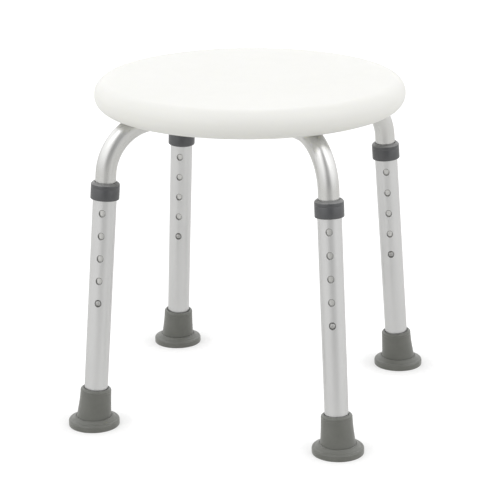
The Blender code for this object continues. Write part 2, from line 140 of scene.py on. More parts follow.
def arc(centre, radius, start_deg, end_deg, steps):
    """(x, y) points on an arc, both ends included."""
    angles = [math.radians(start_deg + (end_deg - start_deg) * i / steps) for i in range(steps + 1)]
    return [(centre[0] + radius * math.cos(a), centre[1] + radius * math.sin(a)) for a in angles]


def smoothstep(value):
    value = min(max(value, 0.0), 1.0)
    return value * value * (3 - 2 * value)


def soft_max(a, b, width):
    """The higher of two heights, with a round transition where they meet."""
    near = max(width - abs(a - b), 0.0) / width
    return max(a, b) + near * near * width / 4


def rings_object(name, rings, material, matrix=None, loop=False, straight=None):
    """A closed surface through rings of points. A ring of one point is a pole.

    straight holds, for each ring, its points on the same bar pulled straight, and is kept as an
    attribute that the brushed metal reads.
    """
    mesh = bpy.data.meshes.new(name)
    bm = bmesh.new()
    layer = bm.verts.layers.float_vector.new("straight") if straight else None
    rows = []
    for index, ring in enumerate(rings):
        row = [bm.verts.new(point) for point in ring]
        if layer:
            for vertex, point in zip(row, straight[index]):
                vertex[layer] = point
        rows.append(row)
    pairs = list(zip(rows, rows[1:] + rows[:1])) if loop else list(zip(rows, rows[1:]))
    for upper, lower in pairs:
        count = max(len(upper), len(lower))
        for i in range(count):
            j = (i + 1) % count
            corners = [upper[i % len(upper)], upper[j % len(upper)]]
            corners += [lower[j % len(lower)], lower[i % len(lower)]]
            bm.faces.new(list(dict.fromkeys(corners)))
    bmesh.ops.recalc_face_normals(bm, faces=bm.faces)
    bm.to_mesh(mesh)
    bm.free()
    mesh.materials.append(material)
    obj = bpy.data.objects.new(name, mesh)
    obj.matrix_world = matrix or Matrix.Identity(4)
    bpy.context.scene.collection.objects.link(obj)
    return obj


def smooth(obj, angle=35):
    obj.data.shade_smooth()
    obj.data.set_sharp_from_angle(angle=math.radians(angle))
    return obj


def turned(name, profile, material, matrix=None, steps=96, loop=False):
    """Turns (radius, height) points about Z."""
    angles = [2 * math.pi * i / steps for i in range(steps)]
    rings = []
    for radius, height in profile:
        if radius == 0.0:
            rings.append([(0.0, 0.0, height)])
        else:
            rings.append([(radius * math.cos(a), radius * math.sin(a), height) for a in angles])
    return smooth(rings_object(name, rings, material, matrix, loop))


def cut(obj, cutters):
    """Takes the cutters away from obj for good. The cut faces get the cutters' own material."""
    for cutter in cutters:
        modifier = obj.modifiers.new("cut", "BOOLEAN")
        modifier.operation = "DIFFERENCE"
        modifier.object = cutter
        modifier.material_mode = "TRANSFER"
    graph = bpy.context.evaluated_depsgraph_get()
    mesh = bpy.data.meshes.new_from_object(obj.evaluated_get(graph), depsgraph=graph)
    obj.modifiers.clear()
    obj.data = mesh
    mesh.name = obj.name
    for cutter in cutters:
        bpy.data.objects.remove(cutter, do_unlink=True)
    return smooth(obj)


def show(obj, body, slot, *nodes):
    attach(obj, body)
    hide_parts(*nodes)
    return obj


# ---- Materials -----------------------------------------------------------------------------

NOISE_RANGE = (0.3, 0.7)  # the part of a noise's range that it really fills


class Nodes:
    """A node tree whose nodes are added one call at a time."""

    def __init__(self, tree):
        self.tree = tree

    def node(self, kind, **inputs):
        made = self.tree.nodes.new(kind)
        for key, value in inputs.items():
            made.inputs[key.replace("_", " ")].default_value = value
        return made

    def link(self, source, target):
        self.tree.links.new(source, target)

    def place(self, socket, value):
        """Gives a socket a plain value, or links it to another node's output."""
        if hasattr(value, "is_linked"):
            self.link(value, socket)
        else:
            socket.default_value = value

    def math(self, kind, first, second=0.0):
        made = self.node("ShaderNodeMath")
        made.operation = kind
        for socket, value in zip(made.inputs, (first, second)):
            self.place(socket, value)
        return made.outputs["Value"]

    def vector_math(self, kind, first, second=(0.0, 0.0, 0.0), output="Vector"):
        made = self.node("ShaderNodeVectorMath")
        made.operation = kind
        for socket, value in zip(made.inputs, (first, second)):
            self.place(socket, value)
        return made.outputs[output]

    def axes(self, vector):
        split = self.node("ShaderNodeSeparateXYZ")
        self.link(vector, split.inputs[0])
        return [split.outputs[axis] for axis in "XYZ"]

    def ramp(self, value, from_min, from_max, to_min, to_max):
        """Maps a value from one range to another, easing in and out."""
        ends = {"From_Min": from_min, "From_Max": from_max, "To_Min": to_min, "To_Max": to_max}
        made = self.node("ShaderNodeMapRange", **ends)
        made.interpolation_type = "SMOOTHSTEP"
        self.link(value, made.inputs["Value"])
        return made.outputs["Result"]

    def mixed_shader(self, share, first, second):
        made = self.node("ShaderNodeMixShader")
        for socket, value in zip(made.inputs, (share, first, second)):
            self.place(socket, value)
        return made.outputs["Shader"]

    def camera_ray(self):
        """1 for what the camera sees directly, and 0 for what lights or shows in the object."""
        return self.node("ShaderNodeLightPath").outputs["Is Camera Ray"]


class Surface(Nodes):
    """A material with its Principled shader."""

    def __init__(self, name):
        self.material = bpy.data.materials.new(name)
        self.material.use_nodes = True
        super().__init__(self.material.node_tree)
        self.shader = self.tree.nodes["Principled BSDF"]

    def set(self, name, value):
        self.place(self.shader.inputs[name], value)

    def object_space(self):
        return self.node("ShaderNodeTexCoord").outputs["Object"]

    def coordinates(self, stretch=(1.0, 1.0, 1.0), attribute=None):
        """Object coordinates, or those of the straightened bar, scaled along each axis."""
        mapping = self.node("ShaderNodeMapping", Scale=stretch)
        if attribute:
            source = self.node("ShaderNodeAttribute")
            source.attribute_name = attribute
            self.link(source.outputs["Vector"], mapping.inputs["Vector"])
        else:
            self.link(self.object_space(), mapping.inputs["Vector"])
        return mapping.outputs["Vector"]

    def noise(self, vector, scale, detail=3.0):
        made = self.node("ShaderNodeTexNoise", Scale=scale, Detail=detail, Roughness=0.5)
        self.link(vector, made.inputs["Vector"])
        return made.outputs["Fac"]

    def spread(self, value, low, high):
        """Maps a noise onto a range of values."""
        start, end = NOISE_RANGE
        ends = {"From_Min": start, "From_Max": end, "To_Min": low, "To_Max": high}
        made = self.node("ShaderNodeMapRange", **ends)
        self.link(value, made.inputs["Value"])
        return made.outputs["Result"]

    def colours(self, value, low, high):
        """Maps a noise onto the colours between two."""
        made = self.node("ShaderNodeValToRGB")
        for stop, position, colour in zip(made.color_ramp.elements, NOISE_RANGE, (low, high)):
            stop.position = position
            stop.color = (*colour, 1.0)
        self.link(value, made.inputs["Fac"])
        return made.outputs["Color"]

    def mixed(self, first, second, share):
        made = self.node("ShaderNodeMix")
        made.data_type = "RGBA"
        self.link(share, made.inputs["Factor"])
        self.link(first, made.inputs[6])
        made.inputs[7].default_value = (*second, 1.0)
        return made.outputs[2]

    def bump(self, value, strength, distance):
        made = self.node("ShaderNodeBump", Strength=strength, Distance=distance)
        self.link(value, made.inputs["Height"])
        return made.outputs["Normal"]


def seat_plastic():
    """Blow-moulded polyethylene: near white, satin, with a faint orange peel."""
    surface = Surface("seat_plastic")
    space = surface.coordinates()
    cloud = surface.noise(space, 9.0, 2.0)
    surface.set("Base Color", surface.colours(cloud, (0.791, 0.790, 0.763), (0.809, 0.808, 0.783)))
    surface.set("Roughness", surface.spread(surface.noise(space, 60.0), 0.36, 0.44))
    peel = surface.bump(surface.noise(space, 700.0, 2.0), 0.10, 0.00012)
    surface.set("Normal", peel)
    surface.set("IOR", 1.48)
    surface.set("Subsurface Weight", 0.5)
    surface.set("Specular IOR Level", 0.30)
    surface.set("Subsurface Radius", (1.0, 1.0, 0.9))
    surface.set("Subsurface Scale", 0.016)
    return surface.material


def aluminium(name, low, high, roughness, attribute=None):
    """Satin anodised tube, with the fine lines of the draw along it."""
    surface = Surface(name)
    along = surface.coordinates((1.0, 1.0, 0.012), attribute)
    cloudy = surface.coordinates((1.0, 1.0, 0.35), attribute)
    lines = surface.noise(along, 2600.0, 2.0)
    cloud = surface.noise(cloudy, 60.0, 3.0)
    surface.set("Base Color", surface.colours(cloud, low, high))
    surface.set("Roughness", surface.spread(lines, roughness - 0.03, roughness + 0.03))
    surface.set("Metallic", 1.0)
    surface.set("Normal", surface.bump(lines, 0.06, 0.00004))
    return surface.material


def plain_metal(name, low, high, roughness):
    """Turned or rolled metal: steel, stainless steel or brass."""
    surface = Surface(name)
    space = surface.coordinates()
    surface.set("Base Color", surface.colours(surface.noise(space, 220.0), low, high))
    cloud = surface.noise(space, 500.0)
    surface.set("Roughness", surface.spread(cloud, roughness - 0.05, roughness + 0.06))
    surface.set("Metallic", 1.0)
    surface.set("Normal", surface.bump(surface.noise(space, 2200.0, 2.0), 0.08, 0.00005))
    return surface.material


def collar_plastic(bevel_foot):
    """Dark grey moulded plastic with a fine spark-eroded grain, and a painted highlight: paler
    colour on its top bevel.
    """
    surface = Surface("collar_plastic")
    space = surface.coordinates()
    cloud = surface.noise(space, 90.0)
    plain = surface.colours(cloud, (0.046, 0.048, 0.053), (0.058, 0.060, 0.065))
    # a noise that makes the lower edge of the painted highlight band uneven
    highlight_edge_noise = surface.noise(surface.coordinates((1.0, 1.0, 2.5)), 700.0)
    height = surface.math("ADD", surface.axes(space)[2], surface.spread(highlight_edge_noise, -0.0003, 0.0003))
    # painted highlight: the top bevel is coloured paler, where the overhead light would catch the
    # shoulder
    painted_highlight = surface.ramp(height, bevel_foot - 0.0002, bevel_foot + 0.0004, 0.0, 1.0)
    surface.set("Base Color", surface.mixed(plain, (0.165, 0.166, 0.165), painted_highlight))
    surface.set("Roughness", surface.spread(surface.noise(space, 400.0), 0.32, 0.42))
    surface.set("Specular IOR Level", 1.0)
    surface.set("Normal", surface.bump(surface.noise(space, 2600.0, 2.0), 0.14, 0.00008))
    return surface.material


def tip_rubber():
    """Warm grey rubber: matte, a little dusty, with a fine grain."""
    surface = Surface("tip_rubber")
    space = surface.coordinates()
    cloud = surface.noise(space, 70.0, 4.0)
    surface.set("Base Color", surface.colours(cloud, (0.093, 0.096, 0.082), (0.109, 0.112, 0.097)))
    surface.set("Sheen Weight", 0.42)
    surface.set("Sheen Roughness", 0.45)
    surface.set("Roughness", surface.spread(surface.noise(space, 300.0), 0.46, 0.58))
    surface.set("Specular IOR Level", 1.0)
    surface.set("Normal", surface.bump(surface.noise(space, 1800.0, 3.0), 0.22, 0.00010))
    return surface.material


SEAT_PLASTIC = seat_plastic()
FRAME_ALUMINIUM = aluminium(
    "frame_aluminium", (0.665, 0.665, 0.655), (0.695, 0.695, 0.685), 0.30, "straight"
)
LEG_ALUMINIUM = aluminium("leg_aluminium", (0.692, 0.694, 0.698), (0.716, 0.718, 0.722), 0.37)
# walls of the punched holes: raw punched metal, darkened further as painted shade of the hole and
# the gap behind it
HOLE_EDGE_SHADE = aluminium("leg_hole_edge_shade", (0.26, 0.26, 0.255), (0.32, 0.32, 0.31), 0.45)
COLLAR_TOP = span("collar_front_left", leg_frame("front_left"))[1]
COLLAR_PLASTIC = collar_plastic(COLLAR_TOP - COLLAR_BEVEL)
TIP_RUBBER = tip_rubber()
BUTTON_STEEL = plain_metal("button_steel", (0.43, 0.43, 0.425), (0.49, 0.49, 0.48), 0.55)
SPRING_STEEL = plain_metal("spring_steel", (0.40, 0.40, 0.41), (0.47, 0.47, 0.48), 0.36)
FASTENER_STEEL = plain_metal("fastener_steel", (0.53, 0.53, 0.52), (0.60, 0.60, 0.59), 0.30)
INSERT_BRASS = plain_metal("insert_brass", (0.68, 0.50, 0.24), (0.75, 0.57, 0.30), 0.36)


# ---- Seat ----------------------------------------------------------------------------------

TUBE_LOW, TUBE_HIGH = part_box("frame_tube_upper")
RUN_HEIGHT = TUBE_HIGH.z - TUBE_RADIUS
TUBE_END_HEIGHT = TUBE_LOW.z
LEG_AXIS = -Vector(JOINTS["leg_slide_front_right"]["axis"])
LEG_TILT = math.acos(LEG_AXIS.z)
FOOT_REACH = leg_frame("front_right").translation.length
BEND_START = FOOT_REACH - RUN_HEIGHT * math.tan(LEG_TILT)
BEND_START -= BEND_RADIUS * math.tan((math.pi / 2 - LEG_TILT) / 2)
SEAT_LOW, SEAT_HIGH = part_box("seat")
SEAT_RADIUS = (SEAT_HIGH.x - SEAT_LOW.x) / 2
SEAT_TOP, SEAT_BOTTOM = SEAT_HIGH.z, SEAT_LOW.z
LIP_OUTER = SEAT_RADIUS - SEAT_BOTTOM_ROUND
LIP_INNER = LIP_OUTER - SEAT_LIP_WIDTH
EDGE_BLEND = 0.0022  # width of the rounded edges on the moulded underside
WALL_DRAFT = 0.0030  # how far a moulded wall leans over its height
SEAT_STEPS = 576  # round the seat
SEAT_CROWDING = 0.16
UNDER_STEPS = 140  # from the middle of the underside to its rim
RIM_STEPS = 16
TOP_STEPS = 12


def channel_height(along, off):
    """Height of the groove over a frame tube, at this distance along and beside the tube."""
    radius = TUBE_RADIUS + CHANNEL_CLEARANCE
    if abs(off) >= radius:
        return 0.0
    rise = math.sqrt(radius * radius - off * off)
    past = max(abs(along) - BEND_START, 0.0)
    outer = BEND_RADIUS + rise
    if past >= outer:
        return 0.0
    return RUN_HEIGHT - BEND_RADIUS + math.sqrt(outer * outer - past * past)


def underside_height(x, y):
    """The moulded underside: panel and lip, with grooves, the middle pocket and the tack cones."""
    reach = math.hypot(x, y)
    panel = SEAT_BOTTOM + SEAT_LIP_DROP * smoothstep((LIP_INNER - reach) / WALL_DRAFT)
    height = panel
    for turn in FRAME_TURNS.values():
        along = x * math.cos(turn) + y * math.sin(turn)
        off = y * math.cos(turn) - x * math.sin(turn)
        height = soft_max(height, channel_height(along, off), EDGE_BLEND)
    pocket_top = TUBE_HIGH.z + GAP
    inside = smoothstep((FLAT_BLEND + WALL_DRAFT - reach) / WALL_DRAFT)
    pocket = panel + (pocket_top - panel) * inside
    height = soft_max(height, pocket, EDGE_BLEND / 2)
    for tack in TACK_PLACES:
        side = min(math.hypot(abs(x) - tack, y), math.hypot(x, abs(y) - tack))
        share = (TACK_RADIUS - side) / (TACK_RADIUS - TACK_TIP_RADIUS)
        cone = panel + TACK_DEPTH * min(max(share, -TACK_FOOT), 1.0)
        height = soft_max(height, cone, EDGE_BLEND)
    return height


def seat_angles():
    """Angles round the seat, closer together where the grooves leave under the rim."""
    even = [2 * math.pi * i / SEAT_STEPS for i in range(SEAT_STEPS)]
    return [a + SEAT_CROWDING * math.sin(4 * a) for a in even]


def seat():
    angles = seat_angles()
    rings = [[(0.0, 0.0, underside_height(0.0, 0.0))]]
    for i in range(1, UNDER_STEPS + 1):
        reach = LIP_OUTER * i / UNDER_STEPS
        points = [(reach * math.cos(a), reach * math.sin(a)) for a in angles]
        rings.append([(x, y, underside_height(x, y)) for x, y in points])
    flat = SEAT_RADIUS - SEAT_TOP_ROUND
    low_centre = (LIP_OUTER, SEAT_BOTTOM + SEAT_BOTTOM_ROUND)
    lower = arc(low_centre, SEAT_BOTTOM_ROUND, -90, 0, RIM_STEPS)
    upper = arc((flat, SEAT_TOP - SEAT_TOP_ROUND), SEAT_TOP_ROUND, 0, 90, RIM_STEPS)
    top = [(flat * (1 - i / TOP_STEPS), SEAT_TOP) for i in range(1, TOP_STEPS)]
    for radius, height in lower[1:] + upper + top:
        rings.append([(radius * math.cos(a), radius * math.sin(a), height) for a in angles])
    rings.append([(0.0, 0.0, SEAT_TOP)])
    obj = smooth(rings_object("seat_shell", rings, SEAT_PLASTIC), 50)
    show(obj, "stool", "seat_plastic", "seat")


# ---- Frame tubes ---------------------------------------------------------------------------

BEND_STEPS = 36
FLAT_STEPS = 10
RUN_RINGS = (0.10, 0.07)  # X of the rings on the straight run under the seat
TUBE_STEPS = 72
HOLE_STEPS = 40


def frame_path():
    """Points and directions of a tube's centre line in its own XZ plane, end to end."""
    end_x = FOOT_REACH - TUBE_END_HEIGHT * math.tan(LEG_TILT)
    tilt = math.degrees(LEG_TILT)
    bend = arc((BEND_START, RUN_HEIGHT - BEND_RADIUS), BEND_RADIUS, tilt, 90, BEND_STEPS)
    flat = FLAT_BLEND - FLAT_HALF
    runs = [*RUN_RINGS, *(FLAT_BLEND - flat * i / FLAT_STEPS for i in range(FLAT_STEPS + 1))]
    half = [(end_x, TUBE_END_HEIGHT), *bend] + [(x, RUN_HEIGHT) for x in runs]
    return half + [(-x, z) for x, z in reversed(half)]


def path_directions(path):
    """Unit direction of travel at each point, from its neighbours."""
    directions = []
    for i in range(len(path)):
        before, after = path[max(i - 1, 0)], path[min(i + 1, len(path) - 1)]
        length = math.hypot(after[0] - before[0], after[1] - before[1])
        directions.append(((after[0] - before[0]) / length, (after[1] - before[1]) / length))
    return directions


def pressed(point, side, share, widen):
    """Where a point of the round tube goes when its middle is pressed flat to one side."""
    x, y, z = point
    height = z - RUN_HEIGHT
    if abs(x) > FLAT_BLEND or abs(height) > 2 * TUBE_RADIUS:
        return point
    flat = smoothstep((FLAT_BLEND - abs(x)) / (FLAT_BLEND - FLAT_HALF))
    squeezed = height * share + side * (TUBE_RADIUS + GAP / 2) / 2
    return (x, y * (1 + (widen - 1) * flat), RUN_HEIGHT + height + (squeezed - height) * flat)


def tube_rings(path, radius, side, share, widen):
    """Rings round the centre line, and the same points on the tube pulled straight."""
    rings, straight = [], []
    travelled = 0.0
    for i, ((x, z), (dx, dz)) in enumerate(zip(path, path_directions(path))):
        if i:
            travelled += math.hypot(x - path[i - 1][0], z - path[i - 1][1])
        ring, flat_ring = [], []
        for step in range(TUBE_STEPS):
            angle = 2 * math.pi * step / TUBE_STEPS
            out, across = radius * math.cos(angle), radius * math.sin(angle)
            ring.append(pressed((x + dz * out, across, z - dx * out), side, share, widen))
            flat_ring.append((out, across, travelled))
        rings.append(ring)
        straight.append(flat_ring)
    return rings, straight


def frame_tube(name):
    turn = Matrix.Rotation(FRAME_TURNS[name], 4, "Z")
    side, path = FLAT_SIDE[name], frame_path()
    share = (TUBE_RADIUS - GAP / 2) / (2 * TUBE_RADIUS)
    bore = TUBE_RADIUS - TUBE_WALL
    bore_share = (share * TUBE_RADIUS - TUBE_WALL) / bore
    bore_widen = (FLAT_WIDEN * TUBE_RADIUS - TUBE_WALL) / bore
    outer, outer_straight = tube_rings(path, TUBE_RADIUS, side, share, FLAT_WIDEN)
    inner, inner_straight = tube_rings(path, bore, side, bore_share, bore_widen)
    rings = outer + inner[::-1]
    straight = outer_straight + inner_straight[::-1]
    obj = rings_object(name + "_bent", rings, FRAME_ALUMINIUM, turn, True, straight)
    cutters = []
    for place, tube in TUBE_OF.items():
        if tube == name:
            cutters.append(hole_cutter(button_matrix(place), bore / 2, TUBE_RADIUS + CUT_PAST))
    cut(obj, cutters)
    show(obj, "stool", "frame_aluminium", name)


def hole_matrix(here, height):
    """+Z out of a hole, from the leg's axis at this height up the leg."""
    up = Matrix.Translation((0.0, 0.0, height))
    return here @ up @ Matrix.Rotation(QUARTER_TURN, 4, "X")


def button_height(place):
    """Height of the snap button, and of the lowest hole, up the leg."""
    low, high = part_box("snap_button_" + place)
    return (leg_frame(place).inverted() @ ((low + high) / 2)).z


def button_matrix(place):
    return hole_matrix(leg_frame(place), button_height(place))


def hole_cutter(matrix, low, high):
    profile = [(0.0, high), (HOLE_RADIUS, high), (HOLE_RADIUS, low), (0.0, low)]
    # the cut wall of the hole gets the dark hole material, which is painted shade
    return turned("cutter", profile, HOLE_EDGE_SHADE, matrix, HOLE_STEPS)


# ---- Legs ----------------------------------------------------------------------------------

HOLE_PITCH = JOINTS["leg_slide_front_left"]["range_m"][1] / (HOLE_COUNT - 1)
HOLE_FLARE = 0.0007  # how far the punched edge widens at the surface
FLARE_DEPTH = 0.0006
FLARE_LAND = 0.0001  # depth of the flare's upright part
EXT_EDGE = 0.0003
EXT_STEPS = 144


def flared_cutter(matrix, surface, bore):
    """A round hole whose edge opens out towards the tube's surface."""
    wide, outside = HOLE_RADIUS + HOLE_FLARE, surface + CUT_PAST
    profile = [(0.0, outside), (wide, outside), (wide, surface - FLARE_LAND)]
    profile += [(HOLE_RADIUS, surface - FLARE_DEPTH), (HOLE_RADIUS, bore), (0.0, bore)]
    # the cut wall and flare of the hole get the dark hole material, which is painted shade
    return turned("cutter", profile, HOLE_EDGE_SHADE, matrix, HOLE_STEPS)


def leg_extension(place, here):
    node = "leg_extension_" + place
    low, high, radius = span(node, here)
    bore, edge = radius - EXT_WALL, EXT_EDGE
    outer = [(radius - edge, high), (radius, high - edge)]
    outer += [(radius, low + edge), (radius - edge, low)]
    inner = [(bore + edge, low), (bore, low + edge), (bore, high - edge), (bore + edge, high)]
    obj = turned("leg_tube_" + place, outer + inner, LEG_ALUMINIUM, here, EXT_STEPS, True)
    heights = [button_height(place) + i * HOLE_PITCH for i in range(HOLE_COUNT)]
    cut(obj, [flared_cutter(hole_matrix(here, height), radius, bore / 2) for height in heights])
    show(obj, "leg_" + place, "leg_aluminium", node)


COLLAR_WALL = 0.0024
COLLAR_LIP = 0.0022  # thickness of the lip that closes on the frame tube
COLLAR_LIP_EDGE = 0.0006
COLLAR_BEVEL_STEPS = 12
COLLAR_LINE = 0.0062  # below the top, where the mould's parting line runs
COLLAR_LINE_HALF, COLLAR_LINE_DEPTH = 0.0004, 0.0002
COLLAR_FOOT_ROUND = 0.0008


def collar(place, here):
    node = "collar_" + place
    low, high, radius = span(node, here)
    wide, narrow = radius - COLLAR_WALL, TUBE_RADIUS + GAP
    crown = [(narrow + COLLAR_LIP_EDGE, high)]
    for i in range(COLLAR_BEVEL_STEPS + 1):
        share = i / COLLAR_BEVEL_STEPS
        bulge = COLLAR_BEVEL_BULGE * 4 * share * (1 - share)
        across, down = COLLAR_BEVEL * (1 - share) - bulge, COLLAR_BEVEL * share - bulge
        crown.append((radius - across, high - down))
    line, half = high - COLLAR_LINE, COLLAR_LINE_HALF
    seam = [(radius, line + half), (radius - COLLAR_LINE_DEPTH, line), (radius, line - half)]
    foot = (radius - COLLAR_FOOT_ROUND, low + COLLAR_FOOT_ROUND)
    foot = arc(foot, COLLAR_FOOT_ROUND, 0, -90, 6)
    bore = [(wide, low), (wide, high - COLLAR_LIP), (narrow, high - COLLAR_LIP)]
    bore += [(narrow, high - COLLAR_LIP_EDGE)]
    bore += [(narrow + COLLAR_LIP_EDGE / 3, high - COLLAR_LIP_EDGE / 3)]
    profile = crown + seam + foot + bore
    obj = turned("collar_ring_" + place, profile, COLLAR_PLASTIC, here, 96, True)
    show(obj, "leg_" + place, "collar_plastic", node)


TIP_RIM_RADIUS = 0.0168
TIP_BASE_RADIUS = 0.0187  # of the sleeve where it meets the flange
TIP_BASE_HEIGHT = 0.0102
TIP_LIP_ROUND = 0.0030
TIP_GROOVE_DROP = 0.0011  # below the lip
TIP_GROOVE_DEPTH = 0.0003
TIP_GROOVE_UP, TIP_GROOVE_DOWN = 0.0006, 0.0008  # where it ends, above and below its middle
TIP_SLEEVE_STEPS = 14
TIP_SLEEVE_CURVE = 1.4  # above 1, the sleeve widens more towards its foot
TIP_FLANGE_THICK = 0.0072
TIP_FLANGE_ROUND = 0.0022
TIP_SOLE_ROUND = 0.0008
TIP_DISH = [  # (out, up) from the sleeve's foot, over the flange
    (0.0003, -0.0002), (0.0013, 0.0003), (0.0021, 0.0), (0.0033, -0.0014), (0.0047, -0.0022),
]
TIP_DISH_END = (0.0034, 0.0001)  # in from the flange's edge, and above its top
TIP_SOCKET_FLOOR = 0.002  # below the tube's end, where the washer lies
TIP_SOCKET_EDGE = [(0.0, 0.0014), (0.0006, 0.0003)]  # (out, down) from the socket's mouth
TIP_STEPS = 96


def tip_profile(rim, flange):
    """(radius, height, lean) down the outside: lean is 1 on the sleeve and 0 on the flange."""
    lip = TIP_LIP_ROUND
    points = arc((TIP_RIM_RADIUS - lip, rim - lip), lip, 90, 4, 10)
    groove = rim - lip - TIP_GROOVE_DROP
    sleeve_top = groove - TIP_GROOVE_DOWN
    points += [(TIP_RIM_RADIUS, groove + TIP_GROOVE_UP)]
    points += [(TIP_RIM_RADIUS - TIP_GROOVE_DEPTH, groove), (TIP_RIM_RADIUS, sleeve_top)]
    points = [(radius, height, 1.0) for radius, height in points]
    for i in range(1, TIP_SLEEVE_STEPS + 1):
        share = i / TIP_SLEEVE_STEPS
        wider = (TIP_BASE_RADIUS - TIP_RIM_RADIUS) * share ** TIP_SLEEVE_CURVE
        height = sleeve_top + (TIP_BASE_HEIGHT - sleeve_top) * share
        points.append((TIP_RIM_RADIUS + wider, height, 1.0 - share ** 3))
    level = [(TIP_BASE_RADIUS + out, TIP_BASE_HEIGHT + up) for out, up in TIP_DISH]
    level += [(flange - TIP_DISH_END[0], TIP_FLANGE_THICK + TIP_DISH_END[1])]
    edge, sole = TIP_FLANGE_ROUND, TIP_SOLE_ROUND
    level += arc((flange - edge, TIP_FLANGE_THICK - edge), edge, 88, 0, 8)
    level += arc((flange - sole, sole), sole, 0, -90, 4)
    return points + [(radius, height, 0.0) for radius, height in level] + [(0.0, 0.0, 0.0)]


def tip_ring(lean, radius, height, share):
    """A ring of the rubber tip, level on the flange and square to the leg on the sleeve."""
    centre = Vector((0.0, 0.0, height))
    if radius == 0.0:
        return [centre.lerp(lean @ centre, share)]
    ring = []
    for step in range(TIP_STEPS):
        angle = 2 * math.pi * step / TIP_STEPS
        around = Vector((math.cos(angle), math.sin(angle), 0.0))
        level = lean.to_3x3() @ around
        level.z = 0.0
        flat = level.normalized() * radius + centre
        ring.append(flat.lerp(lean @ (around * radius + centre), share))
    return ring


def foot_tip(place, here):
    node = "foot_tip_" + place
    _, rim, _ = span(node, here)
    low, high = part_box(node)
    extension_low, _, extension_radius = span("leg_extension_" + place, here)
    socket = extension_radius + GAP
    bottom = extension_low - TIP_SOCKET_FLOOR
    profile = [(0.0, bottom, 1.0), (socket, bottom, 1.0)]
    profile += [(socket + out, rim - down, 1.0) for out, down in TIP_SOCKET_EDGE]
    profile += tip_profile(rim, (high.x - low.x) / 2)
    upright = Matrix.Translation(here.translation)
    lean = upright.inverted() @ here
    rings = [tip_ring(lean, *point) for point in profile]
    obj = smooth(rings_object("rubber_tip_" + place, rings, TIP_RUBBER, upright), 40)
    show(obj, "leg_" + place, "tip_rubber", node)


PIN_RADIUS = 0.00335
PIN_DOME_RADIUS = 0.0036
PIN_DOME_DROP = 0.0024
PIN_SHOULDER = 0.0080  # from the leg's axis to the wider base inside the tube
PIN_SHOULDER_EDGE = 0.0002
PIN_STEPS = 48


def snap_button(place):
    node = "snap_button_" + place
    at = button_matrix(place)
    low, high, base = span(node, at)
    edge = PIN_SHOULDER_EDGE
    dome = arc((0.0, high - PIN_DOME_RADIUS), PIN_DOME_RADIUS, 90, 25, 10)
    profile = [(0.0, high)] + dome[1:] + [(PIN_RADIUS, high - PIN_DOME_DROP)]
    profile += [(PIN_RADIUS, PIN_SHOULDER), (base - edge, PIN_SHOULDER)]
    profile += [(base, PIN_SHOULDER - edge), (base, low), (0.0, low)]
    obj = turned("button_pin_" + place, profile, BUTTON_STEEL, at, PIN_STEPS)
    show(obj, "button_" + place, "button_steel", node)


SPRING_WIDTH = 0.0060
SPRING_THICK = 0.0008
SPRING_EDGE = 0.0002
SPRING_FRONT = [(-0.0062, -0.006), (-0.0062, 0.006), (-0.0048, 0.020)]  # (y, z) from the button
SPRING_NOSE_RADIUS = 0.0030
SPRING_NOSE = (-0.0010, 0.0330)
SPRING_NOSE_STEPS = 16
SPRING_BACK = [(0.0052, 0.016), (0.0078, -0.004)]


def button_spring(place):
    """A bent steel strip, drawn at rest and fixed in place; on the real stool its front arm goes in
    with the button and its back arm stays.
    """
    at = leg_frame(place) @ Matrix.Translation((0.0, 0.0, button_height(place)))
    nose = arc(SPRING_NOSE, SPRING_NOSE_RADIUS, 180, 0, SPRING_NOSE_STEPS)
    line = [Vector((0.0, y, z)) for y, z in SPRING_FRONT + nose + SPRING_BACK]
    wide, thick = SPRING_WIDTH / 2, SPRING_THICK / 2
    corner = [(wide, thick - SPRING_EDGE), (wide - SPRING_EDGE, thick)]
    section = corner + [(-x, t) for x, t in reversed(corner)]
    section += [(-x, -t) for x, t in section]
    rings = [[line[0]]]
    for before, point, after in zip(line[:1] + line, line, line[1:] + line[-1:]):
        along = (after - before).normalized()
        out = Vector((0.0, along.z, -along.y))
        rings.append([point + Vector((x, 0.0, 0.0)) + out * t for x, t in section])
    rings.append([line[-1]])
    obj = smooth(rings_object("spring_strip_" + place, rings, SPRING_STEEL, at))
    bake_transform(obj)
    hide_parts("button_spring_" + place)


# ---- Fasteners -----------------------------------------------------------------------------

BOLT_SHANK = 0.0030
BOLT_POINT = 0.0006
BOLT_HEAD_HEIGHT = 0.0032
BOLT_HEAD_EDGE = 0.0006
BOLT_HEAD_ROUND, BOLT_HEAD_ROUND_AT = 0.0010, 0.0022
BOLT_CROWN = [(0.0012, 0.0010), (0.0019, 0.0003), (0.0028, 0.0)]  # (in from the edge, up)
BOLT_SOCKET = 0.0022  # radius over the corners of the hexagon
BOLT_SOCKET_DEPTH = 0.0019
BOLT_STEPS = 64
WASHER_BORE = 0.0033
WASHER_EDGE = 0.0003
WASHER_STEPS = 72
SADDLE_REACH = 0.02
SADDLE_STEPS = 96


def upright_at(node):
    """+Z up through the middle of a node."""
    low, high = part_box(node)
    return Matrix.Translation(((low.x + high.x) / 2, (low.y + high.y) / 2, 0.0))


